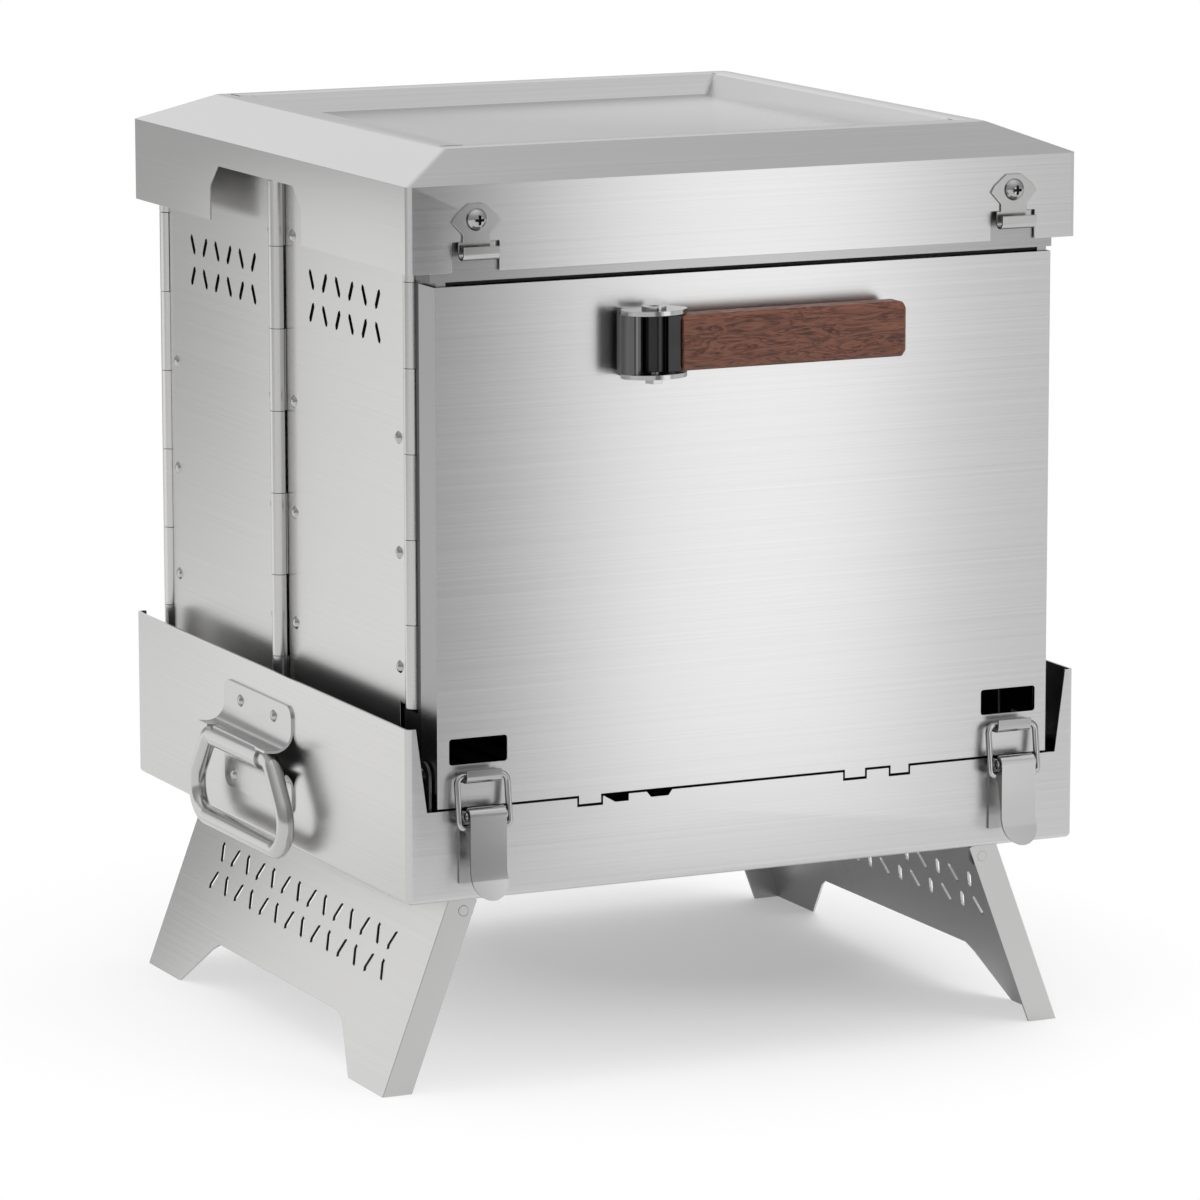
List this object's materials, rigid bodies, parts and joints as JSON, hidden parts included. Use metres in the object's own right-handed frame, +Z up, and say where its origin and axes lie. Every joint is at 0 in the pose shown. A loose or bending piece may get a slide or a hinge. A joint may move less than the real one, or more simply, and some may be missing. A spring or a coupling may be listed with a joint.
{
  "type": "folding charcoal grill",
  "caption": "Square folding charcoal grill with a recessed lid, a drop-down door with a wooden grip, hinged side walls, toggle latches, ring handles and slotted folding legs.",
  "frame": {"origin": "on the ground under the middle of the whole grill, from the front of the door grip to the back of the base", "axes": "+X towards the grill's right side as its user sees it, +Y towards the back, +Z up; the door faces -Y"},
  "size_m": [0.3968, 0.38, 0.4585],
  "materials": {
    "front_steel": "brushed along the width",
    "side_steel": "satin",
    "bright_steel": "polished",
    "inner_steel": "plain rolled",
    "block_plastic": "glossy black",
    "grip_wood": "oiled, dark grain along the length"
  },
  "bodies": {
    "base": {"base_tray": "front_steel", "wall_ledges": "inner_steel", "door_pivot_brackets": "inner_steel", "charcoal_tray": "inner_steel", "fire_grate": "inner_steel", "leg_ears": "inner_steel", "leg_pins": "bright_steel", "latch_plates": "side_steel", "latch_pins": "bright_steel", "base_rivets": "bright_steel", "left_carry_bracket": "side_steel", "right_carry_bracket": "side_steel", "front_frame": "front_steel", "frame_screws": "bright_steel", "front_hinge_pins": "bright_steel"},
    "left_leg": {"left_leg": "side_steel"},
    "right_leg": {"right_leg": "side_steel"},
    "left_lever": {"left_latch_lever": "bright_steel"},
    "right_lever": {"right_latch_lever": "bright_steel"},
    "left_bail": {"left_latch_bail": "bright_steel"},
    "right_bail": {"right_latch_bail": "bright_steel"},
    "left_ring": {"left_carry_ring": "bright_steel"},
    "right_ring": {"right_carry_ring": "bright_steel"},
    "door": {"door_panel": "front_steel", "door_hooks": "bright_steel", "door_pins": "bright_steel", "handle_bracket": "side_steel", "handle_rivets": "bright_steel", "handle_pin": "bright_steel"},
    "handle": {"handle_block": "block_plastic", "handle_grip": "grip_wood"},
    "left_front_wall": {"left_front_panel": "side_steel", "left_front_leaves": "side_steel", "left_front_rivets": "bright_steel", "left_centre_hinge_pin": "bright_steel"},
    "left_rear_wall": {"left_rear_panel": "side_steel", "left_rear_leaves": "side_steel", "left_rear_rivets": "bright_steel"},
    "right_front_wall": {"right_front_panel": "side_steel", "right_front_leaves": "side_steel", "right_front_rivets": "bright_steel", "right_centre_hinge_pin": "bright_steel"},
    "right_rear_wall": {"right_rear_panel": "side_steel", "right_rear_leaves": "side_steel", "right_rear_rivets": "bright_steel"},
    "back_wall": {"back_panel": "side_steel", "rear_hinge_pins": "bright_steel"},
    "lid": {"lid_shell": "front_steel", "lid_catches": "side_steel", "lid_screws": "bright_steel"},
    "grate": {"cooking_grate": "bright_steel"}
  },
  "joints": [
    {"name": "lid_lift", "type": "slide", "parent": "base", "child": "lid", "axis": [0, 0, 1], "range_m": [0, 0.15]},
    {"name": "grate_lift", "type": "slide", "parent": "base", "child": "grate", "axis": [0, 0, 1], "range_m": [0, 0.075]},
    {"name": "door_open", "type": "hinge", "parent": "base", "child": "door", "pos_m": [0, -0.154, 0.159], "axis": [1, 0, 0], "range_deg": [0, 70]},
    {"name": "handle_swing", "type": "hinge", "parent": "door", "child": "handle", "pos_m": [-0.0571, -0.1785, 0.3655], "axis": [0, 0, -1], "range_deg": [0, 90]},
    {"name": "left_front_fold", "type": "hinge", "parent": "base", "child": "left_front_wall", "pos_m": [-0.164, -0.135, 0.249], "axis": [0, 0, -1], "range_deg": [0, 86]},
    {"name": "left_rear_fold", "type": "hinge", "parent": "left_front_wall", "child": "left_rear_wall", "pos_m": [-0.168, 0.024, 0.249], "axis": [0, 0, 1], "range_deg": [0, 172]},
    {"name": "back_fold", "type": "hinge", "parent": "left_rear_wall", "child": "back_wall", "pos_m": [-0.164, 0.183, 0.249], "axis": [0, 0, -1], "range_deg": [0, 86]},
    {"name": "right_front_fold", "type": "hinge", "parent": "base", "child": "right_front_wall", "pos_m": [0.164, -0.135, 0.249], "axis": [0, 0, 1], "range_deg": [0, 86]},
    {"name": "right_rear_fold", "type": "hinge", "parent": "right_front_wall", "child": "right_rear_wall", "pos_m": [0.168, 0.024, 0.249], "axis": [0, 0, -1], "range_deg": [0, 172]},
    {"name": "left_latch_turn", "type": "hinge", "parent": "base", "child": "left_lever", "pos_m": [-0.1445, -0.174, 0.142], "axis": [-1, 0, 0], "range_deg": [0, 90]},
    {"name": "left_bail_turn", "type": "hinge", "parent": "left_lever", "child": "left_bail", "pos_m": [-0.1445, -0.1735, 0.1365], "axis": [1, 0, 0], "range_deg": [0, 73]},
    {"name": "right_latch_turn", "type": "hinge", "parent": "base", "child": "right_lever", "pos_m": [0.1445, -0.174, 0.142], "axis": [-1, 0, 0], "range_deg": [0, 90]},
    {"name": "right_bail_turn", "type": "hinge", "parent": "right_lever", "child": "right_bail", "pos_m": [0.1445, -0.1735, 0.1365], "axis": [1, 0, 0], "range_deg": [0, 73]},
    {"name": "left_ring_lift", "type": "hinge", "parent": "base", "child": "left_ring", "pos_m": [-0.1926, 0.02, 0.144], "axis": [0, 1, 0], "range_deg": [0, 95]},
    {"name": "right_ring_lift", "type": "hinge", "parent": "base", "child": "right_ring", "pos_m": [0.1926, 0.02, 0.144], "axis": [0, -1, 0], "range_deg": [0, 95]},
    {"name": "left_leg_fold", "type": "hinge", "parent": "base", "child": "left_leg", "pos_m": [-0.14287, 0.012, 0.08861], "axis": [0, -1, 0], "range_deg": [0, 110]},
    {"name": "right_leg_fold", "type": "hinge", "parent": "base", "child": "right_leg", "pos_m": [0.14287, 0.012, 0.08861], "axis": [0, 1, 0], "range_deg": [0, 110]}
  ],
  "couplings": [
    {"joint": "grate_lift", "follows": "lid_lift", "ratio": 0.5},
    {"joint": "left_rear_fold", "follows": "left_front_fold", "ratio": 2},
    {"joint": "back_fold", "follows": "left_front_fold", "ratio": 1},
    {"joint": "right_front_fold", "follows": "left_front_fold", "ratio": 1},
    {"joint": "right_rear_fold", "follows": "left_front_fold", "ratio": 2},
    {"joint": "left_bail_turn", "follows": "left_latch_turn", "ratio": 0.81},
    {"joint": "right_bail_turn", "follows": "right_latch_turn", "ratio": 0.81}
  ]
}
